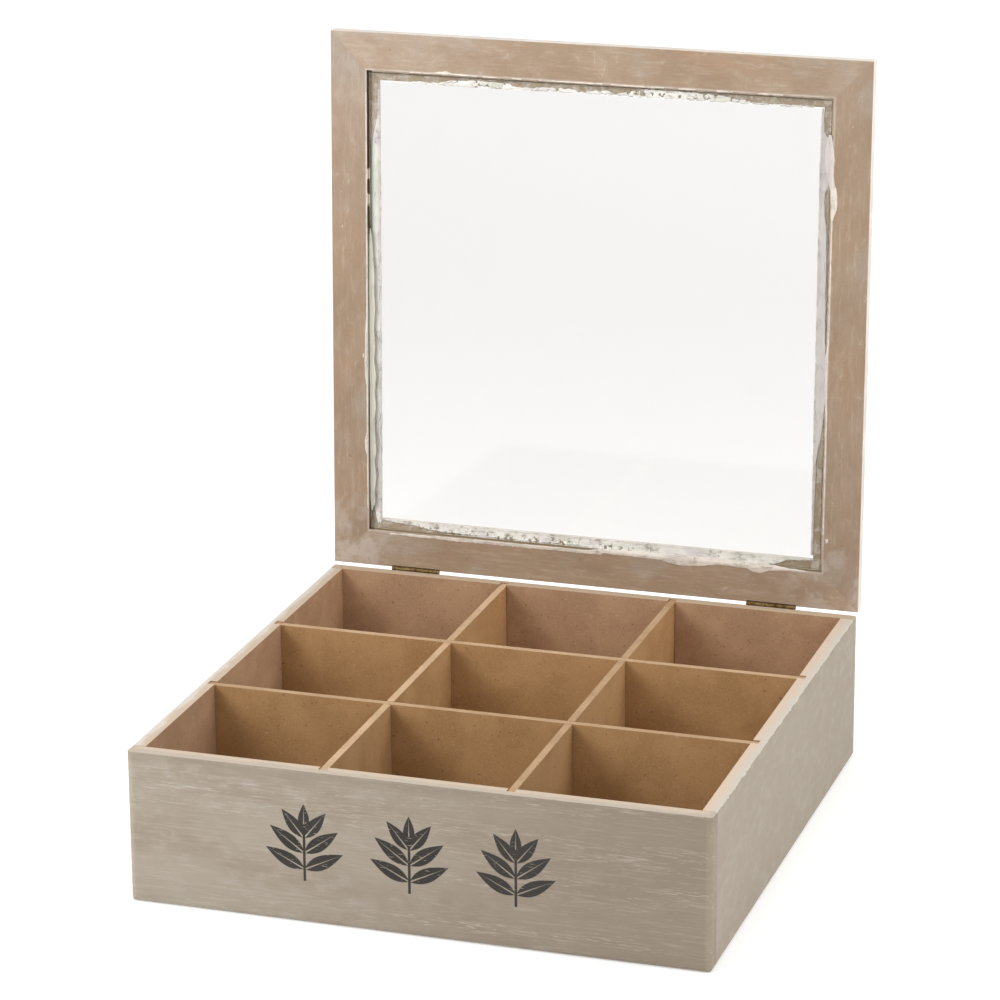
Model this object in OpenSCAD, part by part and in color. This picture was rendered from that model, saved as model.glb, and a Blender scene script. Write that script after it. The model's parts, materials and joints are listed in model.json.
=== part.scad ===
// Tea bag box: nine compartments under a glazed lid that hangs on two butt hinges.
// The origin is the middle of the underside. X runs left to right, Y front to back, Z up.
// The lid stands open, resting on the stops of its hinges.

/* [Box] */
// Overall width, left to right
box_w = 240; // [200:1:300]
// Overall depth, front to back
box_d = 240; // [200:1:300]
// Height of the four walls
wall_h = 64.5; // [50:0.5:100]
// Thickness of the walls
wall_t = 6; // [5:0.5:9]
// Radius of the upright corners and of the edges underneath
corner_r = 2.5; // [1:0.1:2.5]
// Radius that the outer edges of the wall tops are eased to
edge_r = 1.3; // [0.5:0.1:1.5]

/* [Base] */
// Thickness of the base panel, and height of its rebate
base_t = 3; // [2.5:0.5:5]
// How far the base reaches under each wall
base_reach = 3; // [2:0.5:4]
// Gap between the base's edge and its rebate
base_clear = 0.2; // [0.1:0.05:0.4]

/* [Dividers] */
// Thickness of the dividers
divider_t = 3; // [2:0.5:5]
// How far the divider tops lie below the wall tops
divider_drop = 0.5; // [0.2:0.1:5]
// Depth of the housing slots in the walls
slot_depth = 3; // [2:0.5:4]
// Gap on each side of a divider in a slot or a lap
slot_clear = 0.25; // [0.1:0.05:0.5]
// Gap between a divider's end and the bottom of its slot
end_clear = 0.2; // [0.1:0.05:0.5]
// Gap at the bottom of the half laps
lap_clear = 0.3; // [0.1:0.1:1]

/* [Lid] */
// Thickness of the lid frame
lid_t = 6; // [5:0.5:9]
// Width of each rail of the lid frame
rail_w = 21; // [15:0.5:30]
// Width of the lip that the glass lies on
lip_w = 4.5; // [3:0.5:8]
// Depth of the rebate that holds the glass
rebate_depth = 3; // [2.8:0.1:4]
// Radius that the outer edges of the lid are eased to
lid_edge_r = 0.4; // [0.3:0.1:1.5]
// Gap between the closed lid and the walls
lid_gap = 0.4; // [0.3:0.1:1]

/* [Glass] */
// Thickness of the glass
glass_t = 2; // [1.5:0.1:2.4]
// Gap between the glass and the wall of its rebate
glass_clear = 1; // [0.5:0.1:2]
// Thickness of the sealant between the glass and the lip
bed_t = 0.4; // [0.2:0.1:0.4]
// How far the sealant stops short of the lip's edge
bed_inset = 1; // [0.5:0.1:1.5]
// How far the sealant climbs the edge of the glass
bead_h = 1.4; // [0.5:0.1:1.5]

/* [Hinges] */
// Length of each hinge
hinge_len = 22; // [18:0.5:30]
// Distance of each hinge's middle from the side of the box
hinge_inset = 38.5; // [16:0.5:80]
// Thickness of the hinge leaves
leaf_t = 0.6; // [0.5:0.1:0.8]
// How far the leaves stand proud of the boards they are let into
leaf_proud = 0; // [0:0.05:0.4]
// How far the leaves stop short of the lid's top face
leaf_inset = 1; // [0.5:0.1:1.2]
// Radius of the leaves' free corners
leaf_corner_r = 1; // [0.5:0.1:1.5]
// Gap between a leaf and the knuckles of the other leaf
leaf_clear = 0.3; // [0.2:0.05:0.5]
// Gap round a leaf and its knuckles in the pocket they are let into
pocket_clear = 0.15; // [0.1:0.05:0.3]
// Diameter of the hinge pins
pin_d = 1.1; // [1:0.1:1.6]
// Running gap between a pin and the bore of the knuckles
pin_clear = 0.04; // [0.02:0.01:0.08]
// Wall of the rolled knuckles
knuckle_wall = 0.6; // [0.5:0.05:0.9]
// Number of knuckles on each pin
knuckle_count = 5; // [3:2:7]
// Gap between neighbouring knuckles
knuckle_gap = 0.15; // [0.1:0.05:0.3]
// Angle between the closed and the open lid, where it rests on its stops
open_angle = 91.75; // [90:0.25:95]
// Reach of the stop tongues beyond the knuckles
stop_len = 1; // [0.6:0.1:1]
// Thickness of the stop tongues
stop_t = 0.6; // [0.5:0.1:0.7]
// Gap between the stop tongues and the leaves they rest on
stop_gap = 0.1; // [0.05:0.05:0.2]

/* [Screws] */
// Diameter of the screw shanks
screw_d = 1.4; // [1:0.1:1.8]
// Diameter of the countersunk heads
head_d = 2.8; // [2.4:0.1:3]
// Length of the screws
screw_len = 4.8; // [3:0.1:5]
// Distance of each screw from the hinge's middle
screw_x = 6.5; // [5:0.1:7]

/* [Hidden] */
$fn = 48;
// Length by which a cutter runs past the face it opens
past = 1;

inner_w = box_w - 2 * wall_t;
inner_d = box_d - 2 * wall_t;
base_w = inner_w + 2 * base_reach;
base_d = inner_d + 2 * base_reach;

// Equal compartments each way, with a divider at each side of the middle one
cells = 3;
divider_x = (inner_w + divider_t) / cells / 2;
divider_y = (inner_d + divider_t) / cells / 2;
divider_h = wall_h - divider_drop - base_t;
slot_w = divider_t + 2 * slot_clear;

lid_z = wall_h + lid_gap;
pane_w = box_w - 2 * (rail_w - lip_w);
pane_d = box_d - 2 * (rail_w - lip_w);
lip_z = lid_z + rebate_depth;

bore_r = pin_d / 2 + pin_clear;
knuckle_r = bore_r + knuckle_wall;
hinge_x = box_w / 2 - hinge_inset;
knuckle_pitch = hinge_len / knuckle_count;
knuckle_len = knuckle_pitch - knuckle_gap;
leaf_reach = lid_gap / 2 + lid_t - leaf_inset;
leaf_start = knuckle_r + leaf_clear;
screw_row = (leaf_start + leaf_reach) / 2;
leaf_face_y = leaf_t - knuckle_r;
leaf_recess = leaf_t - leaf_proud;
pin_y = box_d / 2 + knuckle_r - leaf_recess;
pin_z = wall_h + lid_gap / 2;

paint = [0.68, 0.63, 0.56];
raw_board = [0.62, 0.49, 0.34];
bare_board = [0.55, 0.43, 0.3];
glass = [0.85, 0.92, 0.92, 0.35];
sealant = [0.9, 0.89, 0.85];
brass = [0.62, 0.5, 0.27];
steel = [0.72, 0.66, 0.5];

// Rectangle on y = 0 whose lower and upper corners have their own radii
module eased_rect(w, h, foot_r, top_r) {
    translate([-w / 2, foot_r])
        square([w, h - foot_r - top_r]);
    translate([foot_r - w / 2, 0])
        square([w - 2 * foot_r, h / 2]);
    translate([top_r - w / 2, h / 2])
        square([w - 2 * top_r, h / 2]);
    for (side = [-1, 1]) {
        translate([side * (w / 2 - foot_r), foot_r])
            circle(r = foot_r);
        translate([side * (w / 2 - top_r), h - top_r])
            circle(r = top_r);
    }
}

// Block on z = 0 with eased upright corners, lower edges and upper edges
module eased_block(w, d, h, side_r, foot_r, top_r) {
    intersection() {
        translate([0, -d / 2, 0])
            linear_extrude(h)
                eased_rect(w, d, side_r, side_r);
        rotate([90, 0, 0])
            linear_extrude(d, center = true)
                eased_rect(w, h, foot_r, top_r);
        rotate([90, 0, 90])
            linear_extrude(w, center = true)
                eased_rect(d, h, foot_r, top_r);
    }
}

// Recess under the walls that takes the base
module base_recess() {
    translate([-base_w / 2, -base_d / 2, -past])
        cube([base_w, base_d, base_t + past]);
}

// The four housing slots for the dividers, open at the top
module divider_slots() {
    slot_h = wall_h - base_t + past;
    for (side = [-1, 1]) {
        translate([side * divider_x - slot_w / 2, -inner_d / 2 - slot_depth, base_t])
            cube([slot_w, inner_d + 2 * slot_depth, slot_h]);
        translate([-inner_w / 2 - slot_depth, side * divider_y - slot_w / 2, base_t])
            cube([inner_w + 2 * slot_depth, slot_w, slot_h]);
    }
}

// One wall, cut out of the eased outline of the whole box
module wall(at, size) {
    color(paint)
        difference() {
            intersection() {
                eased_block(box_w, box_d, wall_h, corner_r, corner_r, edge_r);
                translate(at)
                    cube(size);
            }
            base_recess();
            divider_slots();
        }
}

// The front and back walls run the full width, and the side walls stand between them
module front_panel() {
    wall([-box_w / 2, -box_d / 2, 0], [box_w, wall_t, wall_h]);
}

module back_panel() {
    difference() {
        wall([-box_w / 2, inner_d / 2, 0], [box_w, wall_t, wall_h]);
        for (side = [-1, 1])
            at_hinge(side) {
                leaf_pocket();
                screw_shanks();
            }
    }
}

module left_panel() {
    wall([-box_w / 2, -inner_d / 2, 0], [wall_t, inner_d, wall_h]);
}

module right_panel() {
    wall([inner_w / 2, -inner_d / 2, 0], [wall_t, inner_d, wall_h]);
}

module base_panel() {
    w = base_w - 2 * base_clear;
    d = base_d - 2 * base_clear;
    color(bare_board)
        translate([-w / 2, -d / 2, 0])
            cube([w, d, base_t]);
}

// Divider along X with its two half laps cut from the edge at notch_z
module divider(span, laps, notch_z) {
    length = span + 2 * (slot_depth - end_clear);
    notch_h = divider_h / 2 + lap_clear;
    difference() {
        translate([-length / 2, -divider_t / 2, base_t])
            cube([length, divider_t, divider_h]);
        for (side = [-1, 1])
            translate([side * laps - slot_w / 2, -divider_t / 2 - past, notch_z])
                cube([slot_w, divider_t + 2 * past, notch_h]);
    }
}

// The front-to-back dividers are lapped from above
module long_divider(side) {
    color(raw_board)
        translate([side * divider_x, 0, 0])
            rotate([0, 0, 90])
                divider(inner_d, divider_y, base_t + divider_h / 2);
}

module left_divider() {
    long_divider(-1);
}

module right_divider() {
    long_divider(1);
}

// The cross dividers are lapped from below
module cross_divider(side) {
    color(raw_board)
        translate([0, side * divider_y, 0])
            divider(inner_w, divider_x, base_t - lap_clear);
}

module front_cross_divider() {
    cross_divider(-1);
}

module back_cross_divider() {
    cross_divider(1);
}

// Turns what is drawn for the closed lid about the hinge pins to the open pose
module opened() {
    translate([0, pin_y, pin_z])
        rotate([-open_angle, 0, 0])
            translate([0, -pin_y, -pin_z])
                children();
}

// Strip with mitred ends, its outer edge on y = 0
module mitred_strip(length, width) {
    polygon([
        [-length / 2, 0],
        [length / 2, 0],
        [length / 2 - width, width],
        [-length / 2 + width, width]
    ]);
}

// Puts a strip that was drawn along y = 0 on one side of a w by d rectangle,
// counted from 0 at the front and on round the right, back and left
module on_side(side, w, d) {
    rotate([0, 0, 90 * side])
        translate([0, side % 2 == 0 ? -d / 2 : -w / 2, 0])
            children();
}

function side_length(side, w, d) = side % 2 == 0 ? w : d;

// One rail of the lid frame, with the rebate for the glass on its underside
module lid_rail(side) {
    color(paint)
        opened()
            difference() {
                intersection() {
                    translate([0, 0, lid_z])
                        eased_block(box_w, box_d, lid_t, lid_edge_r, lid_edge_r, lid_edge_r);
                    translate([0, 0, lid_z])
                        on_side(side, box_w, box_d)
                            linear_extrude(lid_t)
                                mitred_strip(side_length(side, box_w, box_d), rail_w);
                }
                translate([-pane_w / 2, -pane_d / 2, lid_z - past])
                    cube([pane_w, pane_d, rebate_depth + past]);
            }
}

module lid_front_rail() {
    lid_rail(0);
}

module lid_right_rail() {
    lid_rail(1);
}

module lid_back_rail() {
    difference() {
        lid_rail(2);
        opened()
            for (side = [-1, 1])
                at_hinge(side)
                    mirror([0, 0, 1]) {
                        leaf_pocket();
                        screw_shanks();
                    }
    }
}

module lid_left_rail() {
    lid_rail(3);
}

module glass_pane() {
    w = pane_w - 2 * glass_clear;
    d = pane_d - 2 * glass_clear;
    color(glass)
        opened()
            translate([-w / 2, -d / 2, lip_z - bed_t - glass_t])
                cube([w, d, glass_t]);
}

// Frame of sealant whose outer edge lies against the wall of the glass's rebate
module sealant_ring(width, height) {
    linear_extrude(height)
        difference() {
            square([pane_w, pane_d], center = true);
            square([pane_w - 2 * width, pane_d - 2 * width], center = true);
        }
}

// Sealant on the lip under the glass and part of the way up the edge of the glass
module glass_sealant() {
    color(sealant)
        opened() {
            translate([0, 0, lip_z - bed_t])
                sealant_ring(lip_w - bed_inset, bed_t);
            translate([0, 0, lip_z - bed_t - bead_h])
                sealant_ring(glass_clear, bed_t + bead_h);
        }
}

// Moves what is drawn about the middle of a hinge pin to the left or right hinge
module at_hinge(side) {
    translate([side * hinge_x, pin_y, pin_z])
        children();
}

// Outline of a leaf that hangs below its pin, with a tab for each of its knuckles
module leaf_outline(first) {
    difference() {
        translate([-hinge_len / 2, -leaf_reach])
            square([hinge_len, leaf_reach - leaf_start]);
        for (side = [-1, 1])
            translate([side * hinge_len / 2, -leaf_reach])
                square(2 * leaf_corner_r, center = true);
    }
    for (side = [-1, 1])
        translate([side * (hinge_len / 2 - leaf_corner_r), leaf_corner_r - leaf_reach])
            circle(r = leaf_corner_r);
    for (i = [first : 2 : knuckle_count - 1])
        translate([knuckle_start(i), -leaf_start])
            square([knuckle_len, leaf_start]);
}

function knuckle_start(i) = -hinge_len / 2 + knuckle_gap / 2 + i * knuckle_pitch;

// Cylinder along the pin, from x = 0
module along_pin(length, radius) {
    rotate([0, 90, 0])
        cylinder(h = length, r = radius);
}

// Leaf with its rolled knuckles and countersunk holes, hanging below its pin.
// It has every second knuckle, counted from first.
module leaf(first) {
    difference() {
        union() {
            translate([0, leaf_face_y, 0])
                rotate([90, 0, 0])
                    linear_extrude(leaf_t)
                        leaf_outline(first);
            for (i = [first : 2 : knuckle_count - 1])
                translate([knuckle_start(i), 0, 0])
                    along_pin(knuckle_len, knuckle_r);
        }
        translate([-hinge_len / 2 - past, 0, 0])
            along_pin(hinge_len + 2 * past, bore_r);
        screw_pair();
    }
}

// Room in a board for a leaf that is let into it, with a groove for the knuckles
module leaf_pocket() {
    length = hinge_len + 2 * pocket_clear;
    translate([-length / 2, -knuckle_r, -leaf_reach - pocket_clear])
        cube([length, leaf_recess + past, leaf_reach + pocket_clear + past]);
    translate([-length / 2, 0, 0])
        along_pin(length, knuckle_r + pocket_clear);
}

module box_leaf(side) {
    color(brass)
        at_hinge(side)
            leaf(0);
}

// Tongues on the knuckles of the lid's leaf, drawn where they rest on the box's leaf
module stop_tongues() {
    top = bore_r + knuckle_wall / 2;
    for (i = [1 : 2 : knuckle_count - 1])
        translate([knuckle_start(i), leaf_face_y + stop_gap, -knuckle_r - stop_len])
            cube([knuckle_len, stop_t, knuckle_r + stop_len - top]);
}

module lid_leaf(side) {
    color(brass) {
        opened()
            at_hinge(side)
                mirror([0, 0, 1])
                    leaf(1);
        at_hinge(side)
            stop_tongues();
    }
}

module hinge_pin(side) {
    color(steel)
        at_hinge(side)
            translate([-hinge_len / 2, 0, 0])
                along_pin(hinge_len, pin_d / 2);
}

// Puts what is drawn below z = 0 at both screws of a leaf, driven in towards -Y
module at_screws() {
    for (side = [-1, 1])
        translate([side * screw_x, leaf_face_y, -screw_row])
            rotate([90, 0, 0])
                children();
}

// Countersunk head as deep as the leaf, with a plain shank
module screw_pair() {
    at_screws() {
        cylinder(h = leaf_t, r1 = head_d / 2, r2 = screw_d / 2);
        translate([0, 0, leaf_t])
            cylinder(h = screw_len - leaf_t, r = screw_d / 2);
    }
}

// Room for the shanks in the board behind a leaf
module screw_shanks() {
    at_screws()
        cylinder(h = screw_len, r = screw_d / 2);
}

module box_screws(side) {
    color(steel)
        at_hinge(side)
            screw_pair();
}

module lid_screws(side) {
    color(steel)
        opened()
            at_hinge(side)
                mirror([0, 0, 1])
                    screw_pair();
}

front_panel();
back_panel();
left_panel();
right_panel();
base_panel();
left_divider();
right_divider();
front_cross_divider();
back_cross_divider();
lid_front_rail();
lid_back_rail();
lid_left_rail();
lid_right_rail();
glass_pane();
glass_sealant();
box_leaf(-1);  // left_hinge_box_leaf
lid_leaf(-1);  // left_hinge_lid_leaf
hinge_pin(-1);  // left_hinge_pin
box_screws(-1);  // left_hinge_box_screws
lid_screws(-1);  // left_hinge_lid_screws
box_leaf(1);  // right_hinge_box_leaf
lid_leaf(1);  // right_hinge_lid_leaf
hinge_pin(1);  // right_hinge_pin
box_screws(1);  // right_hinge_box_screws
lid_screws(1);  // right_hinge_lid_screws
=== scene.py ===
import json
import math
import bmesh
import bpy
from mathutils import Matrix, Vector


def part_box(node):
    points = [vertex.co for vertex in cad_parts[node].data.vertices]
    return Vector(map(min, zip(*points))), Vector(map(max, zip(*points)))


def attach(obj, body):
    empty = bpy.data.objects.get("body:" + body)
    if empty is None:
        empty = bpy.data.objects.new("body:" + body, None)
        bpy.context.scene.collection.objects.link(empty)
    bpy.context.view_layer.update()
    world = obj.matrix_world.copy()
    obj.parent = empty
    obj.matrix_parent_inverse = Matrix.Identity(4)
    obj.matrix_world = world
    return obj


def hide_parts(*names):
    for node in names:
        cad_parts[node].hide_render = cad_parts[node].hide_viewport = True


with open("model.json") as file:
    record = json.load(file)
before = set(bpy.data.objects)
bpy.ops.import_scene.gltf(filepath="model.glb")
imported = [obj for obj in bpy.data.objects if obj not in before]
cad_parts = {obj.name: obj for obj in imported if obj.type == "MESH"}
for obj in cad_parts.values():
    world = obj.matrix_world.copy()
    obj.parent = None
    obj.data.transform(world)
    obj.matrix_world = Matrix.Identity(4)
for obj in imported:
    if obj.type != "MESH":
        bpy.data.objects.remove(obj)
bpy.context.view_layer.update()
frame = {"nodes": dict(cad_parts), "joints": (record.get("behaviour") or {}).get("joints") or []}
print("frame loaded:", len(frame["nodes"]), "nodes")

mm = 0.001

# the sizes that the looks hang on, read from the frame
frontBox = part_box("front_panel")
boxLow = Vector(frontBox[0])
boxHigh = Vector((frontBox[1][0], -frontBox[0][1], frontBox[1][2]))
wallThick = frontBox[1][1] - frontBox[0][1]
wallTop = frontBox[1][2]
innerHalf = boxHigh.x - wallThick

lidJoint = next(joint for joint in frame["joints"] if joint["name"] == "lid_hinge")
pinPoint = Vector(lidJoint["pos_m"])
closedAngle = math.radians(lidJoint["range_deg"][1])


def turnAboutPin(angle):
    return Matrix.Translation(pinPoint) @ Matrix.Rotation(angle, 4, "X") @ Matrix.Translation(-pinPoint)


# the lid's pieces are drawn lying closed, and the pattern of its rails is read there too
closeLid = turnAboutPin(closedAngle)
openLid = turnAboutPin(-closedAngle)


def nodePoints(name, turn):
    return [turn @ v.co for v in frame["nodes"][name].data.vertices]


def extent(points):
    return [Vector([pick(p[i] for p in points) for i in range(3)]) for pick in (min, max)]


lidLow, lidHigh = extent(nodePoints("lid_left_rail", closeLid))
lidHigh.x = -lidLow.x
glassLow, glassHigh = extent(nodePoints("glass_pane", closeLid))
rebateHigh = extent(nodePoints("glass_sealant", closeLid))[1]
rebateHalf = rebateHigh.x

# helpers for building node trees


def maths(operation):
    return lambda one, other=0.0: calc(operation, one, other)


class Signal:
    # what a node puts out; sums of signals are Math nodes
    def __init__(self, socket):
        self.socket = socket

    __add__ = __radd__ = maths("ADD")
    __mul__ = __rmul__ = maths("MULTIPLY")
    __sub__ = maths("SUBTRACT")
    __truediv__ = maths("DIVIDE")
    __gt__ = maths("GREATER_THAN")
    __lt__ = maths("LESS_THAN")
    __abs__ = maths("ABSOLUTE")

    def __rsub__(self, other):
        return calc("SUBTRACT", other, self)


def wire(value, socket):
    if isinstance(value, Signal):
        socket.id_data.links.new(value.socket, socket)
    else:
        socket.default_value = value


def put(tree, kind, inputs=None, **settings):
    made = tree.nodes.new(kind)
    for name, value in settings.items():
        setattr(made, name, value)
    for name, value in (inputs or {}).items():
        wire(value, made.inputs[name])
    return made


def get(tree, kind, inputs=None, output=0, **settings):
    return Signal(put(tree, kind, inputs, **settings).outputs[output])


def treeOf(*values):
    return next(value.socket.id_data for value in values if isinstance(value, Signal))


def calc(operation, first, second=0.0, third=0.0):
    values = {0: first, 1: second, 2: third}
    return get(treeOf(first, second), "ShaderNodeMath", values, operation=operation)


def vectorCalc(operation, *values):
    return get(treeOf(*values), "ShaderNodeVectorMath", dict(enumerate(values)),
               "Value" if operation == "LENGTH" else "Vector", operation=operation)


def split(vector):
    return [Signal(o) for o in put(treeOf(vector), "ShaderNodeSeparateXYZ", {"Vector": vector}).outputs]


def join(x=0.0, y=0.0, z=0.0):
    return get(treeOf(x, y, z), "ShaderNodeCombineXYZ", {"X": x, "Y": y, "Z": z})


def band(value, low, high, bottom=0.0, top=1.0, curve="SMOOTHSTEP"):
    return get(treeOf(value), "ShaderNodeMapRange", {
        "Value": value, "From Min": low, "From Max": high, "To Min": bottom, "To Max": top},
        "Result", interpolation_type=curve)


def blend(factor, under, over, mode="MIX"):
    return get(treeOf(factor, under, over), "ShaderNodeMix", {"Factor": factor, 6: under, 7: over}, 2,
               data_type="RGBA", blend_type=mode)


def layered(colour, look, *layers):
    # each layer: its mask, then what the look calls its amount and its colour
    for mask, amount, over in layers:
        colour = blend(mask * look[amount], colour, look[over])
    return colour


def toned(colour, tone):
    return blend(1.0, colour, join(tone, tone, tone), "MULTIPLY")


def noiseOf(vector, scale, detail=3.0, rough=0.55, seed=0.0, distortion=0.0):
    # three scales in a tuple stretch the noise
    if isinstance(scale, tuple):
        vector, scale = vectorCalc("MULTIPLY", vector, scale), 1.0
    return get(treeOf(vector), "ShaderNodeTexNoise", {
        "Vector": vector, "W": seed, "Scale": scale, "Detail": detail, "Roughness": rough,
        "Distortion": distortion}, noise_dimensions="4D")


def tint(red, green, blue):
    return tuple(((c / 255 + 0.055) / 1.055) ** 2.4 if c > 10 else c / 255 / 12.92
                 for c in (red, green, blue)) + (1.0,)


def newGroup(name, kind, inputs):
    # inputs: labels by sort of socket
    tree = bpy.data.node_groups.new(name, kind + "NodeTree")
    for sort, labels in inputs.items():
        for label in labels:
            tree.interface.new_socket(label, in_out="INPUT", socket_type="NodeSocket" + sort)
    return tree, {o.name: Signal(o) for o in put(tree, "NodeGroupInput").outputs if o.name}


def endGroup(tree, results, sort="Float"):
    for label in results:
        tree.interface.new_socket(label, in_out="OUTPUT", socket_type="NodeSocket" + sort)
    put(tree, "NodeGroupOutput", results)
    return tree


def useGroup(group, inputs):
    made = put(treeOf(*inputs.values()), "ShaderNodeGroup", inputs, node_tree=group)
    return {o.name: Signal(o) for o in made.outputs}


# effects that several materials share

def makeWashGrain():
    # thin brushed wash on sanded board: fine wavy strands, gathered in bands, over soft mottling
    tree, given = newGroup("washGrain", "Shader", {"Vector": ["Vector"], "Float": ["Seed"]})
    vector, seed = given["Vector"], given["Seed"]
    later = seed + 3.7
    # a strand is a level line of a field that is stretched along the grain
    field = noiseOf(vector, (15, 520, 520), 3.0, 0.6, seed, 0.2)
    line = band(abs(calc("WRAP", field, 0.045, -0.045)), 0.015, 0.004)
    bands = noiseOf(vector, (3.5, 74, 74), 2.0, 0.5, seed)
    broken = noiseOf(vector, (30, 300, 300), 3.0, 0.6, seed)
    fleck = noiseOf(vector, (260, 1500, 1500), 2.0, 0.5, later, 0.4)
    faint = noiseOf(vector, (60, 1000, 1000), 3.0, 0.62, later, 0.2)
    dark = noiseOf(vector, (40, 1000, 1000), 2.0, 0.5, later, 0.2)
    return endGroup(tree, {
        "Strands": line * (band(bands, 0.48, 0.62, 0.06) * band(broken, 0.46, 0.56)),
        "Flecks": band(fleck, 0.62, 0.69) * band(bands, 0.44, 0.58),
        "Faint Strokes": band(faint, 0.5, 0.74),
        "Dark Lines": band(dark, 0.52, 0.76),
        "Clouds": noiseOf(vector, (17, 48, 48), 3.0, 0.55, seed + 8.1),
        "Mottle": noiseOf(vector, (120, 190, 190), 3.0, 0.6, seed + 5.3),
        "Tooth": noiseOf(vector, (700, 2300, 2300), 3.0, 0.65, seed)})


def makeFibreSpecks():
    # pressed fibreboard: fine felted fibres, dark and light chips, soft patches
    tree, given = newGroup("fibreSpecks", "Shader", {"Vector": ["Vector"], "Float": ["Seed"]})
    vector, seed = given["Vector"], given["Seed"]
    chips = noiseOf(vector, 760.0, 2.0, 0.5, seed, 0.6)
    return endGroup(tree, {"Felt": noiseOf(vector, 1500.0, 4.0, 0.7, seed, 0.8),
                           "Chips": band(chips, 0.64, 0.72), "Dust": band(chips, 0.34, 0.26),
                           "Patches": noiseOf(vector, 60.0, 4.0, 0.6, seed)})


def makeEdgeDistance():
    # how far a point on a box's surface is from the nearest edge of that box
    tree, given = newGroup("edgeDistance", "Shader", {"Vector": ["Vector", "Low", "High"]})
    x, y, z = split(vectorCalc("MINIMUM", vectorCalc("SUBTRACT", given["Vector"], given["Low"]),
                               vectorCalc("SUBTRACT", given["High"], given["Vector"])))
    larger = calc("MAXIMUM", x, y)
    return endGroup(tree, {"Distance": calc("MAXIMUM", calc("MINIMUM", x, y), calc("MINIMUM", larger, z))})


def makeEdgeWear():
    # ragged mask that is 1 on the arris and fades within Width: wear, and a painted highlight along the
    # eased edge
    tree, given = newGroup("edgeWear", "Shader", {
        "Vector": ["Vector"], "Float": ["Distance", "Width", "Seed"]})
    ragged = noiseOf(given["Vector"], 260.0, 4.0, 0.65, given["Seed"])
    reach = given["Width"] * band(ragged, 0.3, 0.75, 0.1, 1.9)
    return endGroup(tree, {"Wear": 1.0 - band(given["Distance"] / reach, 0.35, 1.0)})


washGrain = makeWashGrain()
fibreSpecks = makeFibreSpecks()
edgeDistance = makeEdgeDistance()
edgeWear = makeEdgeWear()


def newMaterial(name):
    material = bpy.data.materials.new(name)
    material.use_nodes = True
    return material, material.node_tree


def paint(material, values):
    shader = material.node_tree.nodes["Principled BSDF"]
    for label, value in values.items():
        wire(value, shader.inputs[label])
    return shader


def coat(material, colour, rough, height, depth):
    bump = get(material.node_tree, "ShaderNodeBump", {"Height": height, "Distance": depth, "Strength": 1.0})
    paint(material, {"Base Color": colour, "Roughness": rough, "Normal": bump})
    return material


def objectPlace(tree):
    return get(tree, "ShaderNodeTexCoord", output="Object")


def patternPlace(tree, lid=False, along="X"):
    # box as it stands, or lid as it lies closed; then the same, turned along the grain
    place = objectPlace(tree)
    if lid:
        place = get(tree, "ShaderNodeMapping", {
            "Vector": place, "Location": closeLid.to_translation(), "Rotation": closeLid.to_euler()})
    if along == "X":
        return place, place
    x, y, z = split(place)
    return place, join(y, x, z)


def squareReach(x, y):
    return calc("MAXIMUM", abs(x), abs(y))


# leaf sprigs on the front, where a stencil has left dark paint

sprig = {
    "middle": (-2.0 * mm, 34.0 * mm),     # x and z of the row's middle on the front panel
    "count": 3, "spacing": 43.5 * mm,
    "stemLow": -16.0 * mm, "stemHigh": 8.0 * mm, "stemHalf": 0.55 * mm,
    # height on the stem, lean from the stem in degrees, length, half width
    "leaves": [(-11.0 * mm, 64.0, 18.0 * mm, 2.9 * mm), (-4.2 * mm, 54.0, 17.6 * mm, 2.9 * mm),
               (2.2 * mm, 39.0, 14.6 * mm, 2.6 * mm), (4.4 * mm, 0.0, 12.1 * mm, 2.3 * mm)],
    "veinHalf": 0.28 * mm, "soft": 0.12 * mm, "depth": 1.5 * mm,
    "colour": tint(31, 25, 18),
}


def makeLeafShape():
    # signed inside of one pointed leaf that grows from the stem at Height, with an unpainted vein
    tree, given = newGroup("leafShape", "Shader", {
        "Float": ["Side", "Up", "Height", "Lean", "Length", "Half"]})
    side = given["Side"]
    up = given["Up"] - given["Height"]
    sine = calc("SINE", given["Lean"])
    cosine = calc("COSINE", given["Lean"])
    share = (side * sine + up * cosine) / given["Length"]
    across = abs(side * cosine - up * sine)
    # widest a little below the middle
    belly = share * (1.0 - share) * (1.35 - share * 0.7)
    outline = belly * 4.0 * given["Half"] - across
    inRange = (share > 0.0) * (share < 1.0)
    outline = outline * inRange - (1.0 - inRange)
    vein = across - sprig["veinHalf"] * calc("MINIMUM", (0.85 - share) * 1.4, 1.0)
    return endGroup(tree, {"Inside": calc("MINIMUM", outline, vein)})


leafShape = makeLeafShape()


def sprigMask(place):
    x, y, z = split(place)
    fromMiddle = x - sprig["middle"][0]
    up = z - sprig["middle"][1]
    half = sprig["spacing"] / 2
    side = abs(calc("WRAP", fromMiddle, half, -half))
    inside = calc("MINIMUM", sprig["stemHalf"] - side, up - sprig["stemLow"])
    inside = calc("MINIMUM", inside, sprig["stemHigh"] - up)
    for height, lean, length, width in sprig["leaves"]:
        leaf = useGroup(leafShape, {"Side": side, "Up": up, "Height": height, "Half": width,
                                    "Lean": math.radians(lean), "Length": length})
        inside = calc("MAXIMUM", inside, leaf["Inside"])
    inside = calc("MINIMUM", inside, half * sprig["count"] - abs(fromMiddle))
    painted = band(inside, -sprig["soft"], sprig["soft"])
    # only the front face carries it, not the back of the same panel
    return painted * (y < boxLow.y + sprig["depth"])


# finishes of the board

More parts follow.
